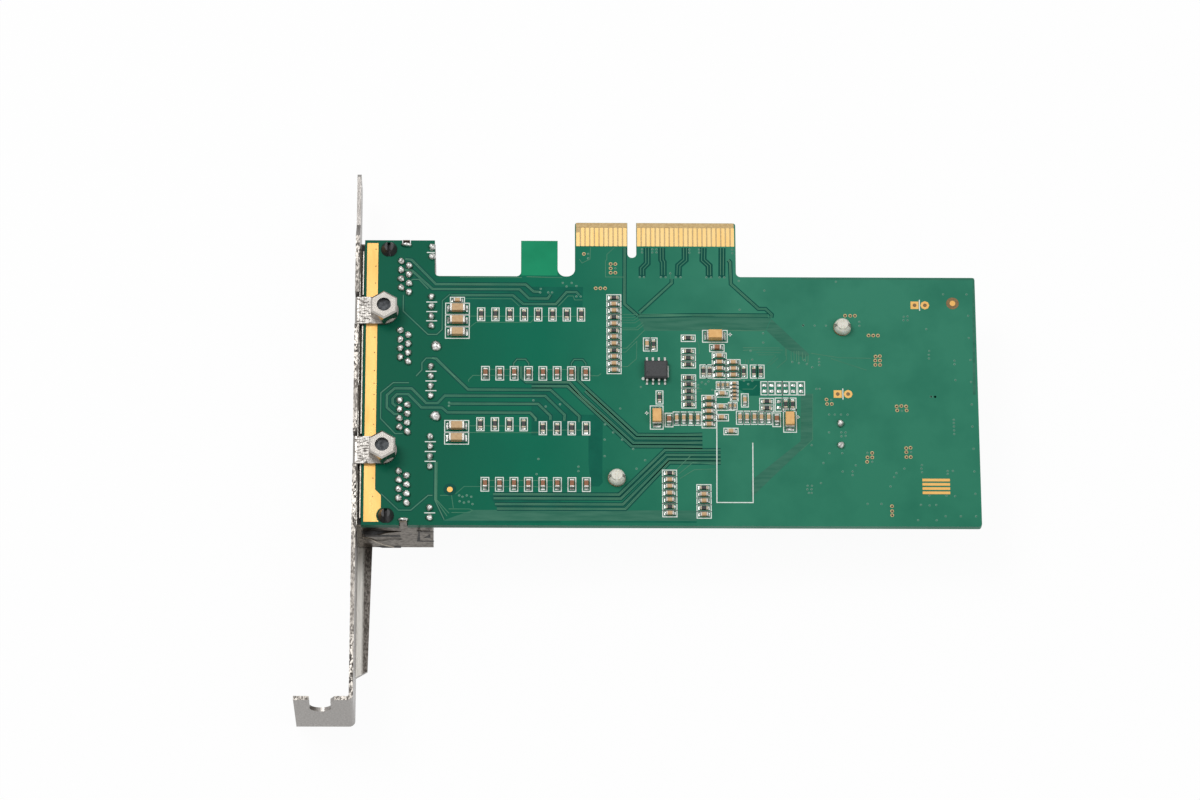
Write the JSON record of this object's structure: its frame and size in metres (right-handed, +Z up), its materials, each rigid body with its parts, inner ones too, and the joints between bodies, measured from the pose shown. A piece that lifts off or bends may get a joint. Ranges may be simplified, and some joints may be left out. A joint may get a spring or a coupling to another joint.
{
  "type": "network interface card",
  "caption": "Low-profile expansion card with a row of modular jacks behind a bent steel bracket, an edge connector tongue, a heat sink and small surface-mounted parts.",
  "frame": {"origin": "bottom centre of the card's box, as it lies with its solder side up", "axes": "+X from the bracket to the far end of the board, +Y from the plain long edge to the edge contacts, +Z up out of the solder side"},
  "size_m": [0.1434, 0.12, 0.0203],
  "materials": {
    "solder_mask": "glass laminate board under green solder mask, satin gloss",
    "gold_plate": "thin gold plating over copper",
    "bracket_steel": "nickel-plated sheet steel, fine rolled grain, sheared edges",
    "shield_tin": "tin-plated thin spring sheet, satin",
    "jack_plastic": "black glass-filled plastic",
    "contact_gold": "gold-plated phosphor bronze wire",
    "lamp_green": "clear green moulded light pipe",
    "lamp_amber": "clear amber moulded light pipe",
    "tinned_lead": "bright tinned copper alloy",
    "solder": "bright solder",
    "nut_steel": "nickel-plated steel",
    "chip_black": "black moulding compound",
    "pad_grey": "soft grey thermal pad",
    "sink_aluminium": "clear-anodised extruded aluminium",
    "pin_nylon": "off-white nylon",
    "spring_steel": "bright spring wire",
    "resistor_black": "ceramic chip, black top coat, tinned ends",
    "ceramic_tan": "tan ceramic body, tinned ends",
    "ceramic_brown": "brown ceramic body, tinned ends",
    "tantalum_tan": "tan moulded case",
    "ferrite_grey": "grey ferrite block"
  },
  "bodies": {
    "root": {"printed_circuit_board": "solder_mask", "edge_contacts_solder_side": "gold_plate", "edge_contacts_component_side": "gold_plate", "ground_strip": "gold_plate", "bare_pads": "gold_plate", "mounting_bracket": "bracket_steel", "jack_shield": "shield_tin", "jack_housing": "jack_plastic", "port_contacts_1": "contact_gold", "port_contacts_2": "contact_gold", "port_contacts_3": "contact_gold", "port_contacts_4": "contact_gold", "line_transformer_1": "chip_black", "line_transformer_2": "chip_black", "line_transformer_3": "chip_black", "line_transformer_4": "chip_black", "transformer_leads_1": "tinned_lead", "transformer_leads_2": "tinned_lead", "transformer_leads_3": "tinned_lead", "transformer_leads_4": "tinned_lead", "link_lamps": "lamp_green", "activity_lamps": "lamp_amber", "lamp_leads": "tinned_lead", "mounting_studs": "nut_steel", "bracket_nuts": "nut_steel", "controller_chip": "chip_black", "controller_solder_balls": "solder", "thermal_pad": "pad_grey", "heat_sink": "sink_aluminium", "heat_sink_push_pins": "pin_nylon", "push_pin_springs": "spring_steel", "crystal_can": "shield_tin", "crystal_header": "tinned_lead", "flash_memory": "chip_black", "flash_memory_leads": "tinned_lead", "chip_resistors_0603": "resistor_black", "chip_capacitors_0603": "ceramic_tan", "chip_resistors_0805": "resistor_black", "chip_capacitors_0805": "ceramic_brown", "chip_capacitors_1206": "ceramic_tan", "chip_capacitors_0402": "ceramic_tan", "tantalum_capacitors": "tantalum_tan", "component_side_chips": "ceramic_tan", "power_inductors": "ferrite_grey", "voltage_regulator": "chip_black", "voltage_regulator_leads": "tinned_lead", "jack_solder_joints": "solder", "lamp_solder_joints": "solder", "crystal_solder_joints": "solder", "shield_solder_joints": "solder"}
  },
  "joints": []
}
